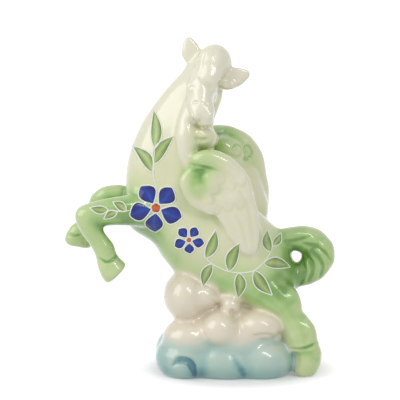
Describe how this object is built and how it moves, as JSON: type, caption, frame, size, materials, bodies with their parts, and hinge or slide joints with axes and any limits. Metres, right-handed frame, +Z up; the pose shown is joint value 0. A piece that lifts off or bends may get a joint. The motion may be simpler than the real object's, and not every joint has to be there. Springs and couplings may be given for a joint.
{
  "type": "pegasus figurine",
  "caption": "Glazed porcelain ornament of a rearing winged horse on a bank of cloud, standing on its hind hooves and a flat cloud base.",
  "frame": {"origin": "point on the table under the middle of the figure's box", "axes": "+Z up, -X the way the horse faces, -Y its near side, towards which the head turns"},
  "size_m": [0.162, 0.0672, 0.2006],
  "materials": {
    "cream_glaze": "gloss",
    "green_glaze": "gloss",
    "blue_glaze": "gloss",
    "cobalt_glaze": "gloss",
    "slip_line": "gloss"
  },
  "bodies": {
    "root": {"torso": "green_glaze", "neck": "cream_glaze", "head": "cream_glaze", "forelock": "cream_glaze", "near_ear": "cream_glaze", "far_ear": "cream_glaze", "near_wing": "green_glaze", "far_wing": "green_glaze", "near_foreleg": "green_glaze", "far_foreleg": "green_glaze", "near_hind_leg": "green_glaze", "far_hind_leg": "green_glaze", "tail": "green_glaze", "side_lock": "cream_glaze", "crest_lock": "cream_glaze", "collar_lock": "cream_glaze", "cloud_base": "blue_glaze"}
  },
  "joints": []
}
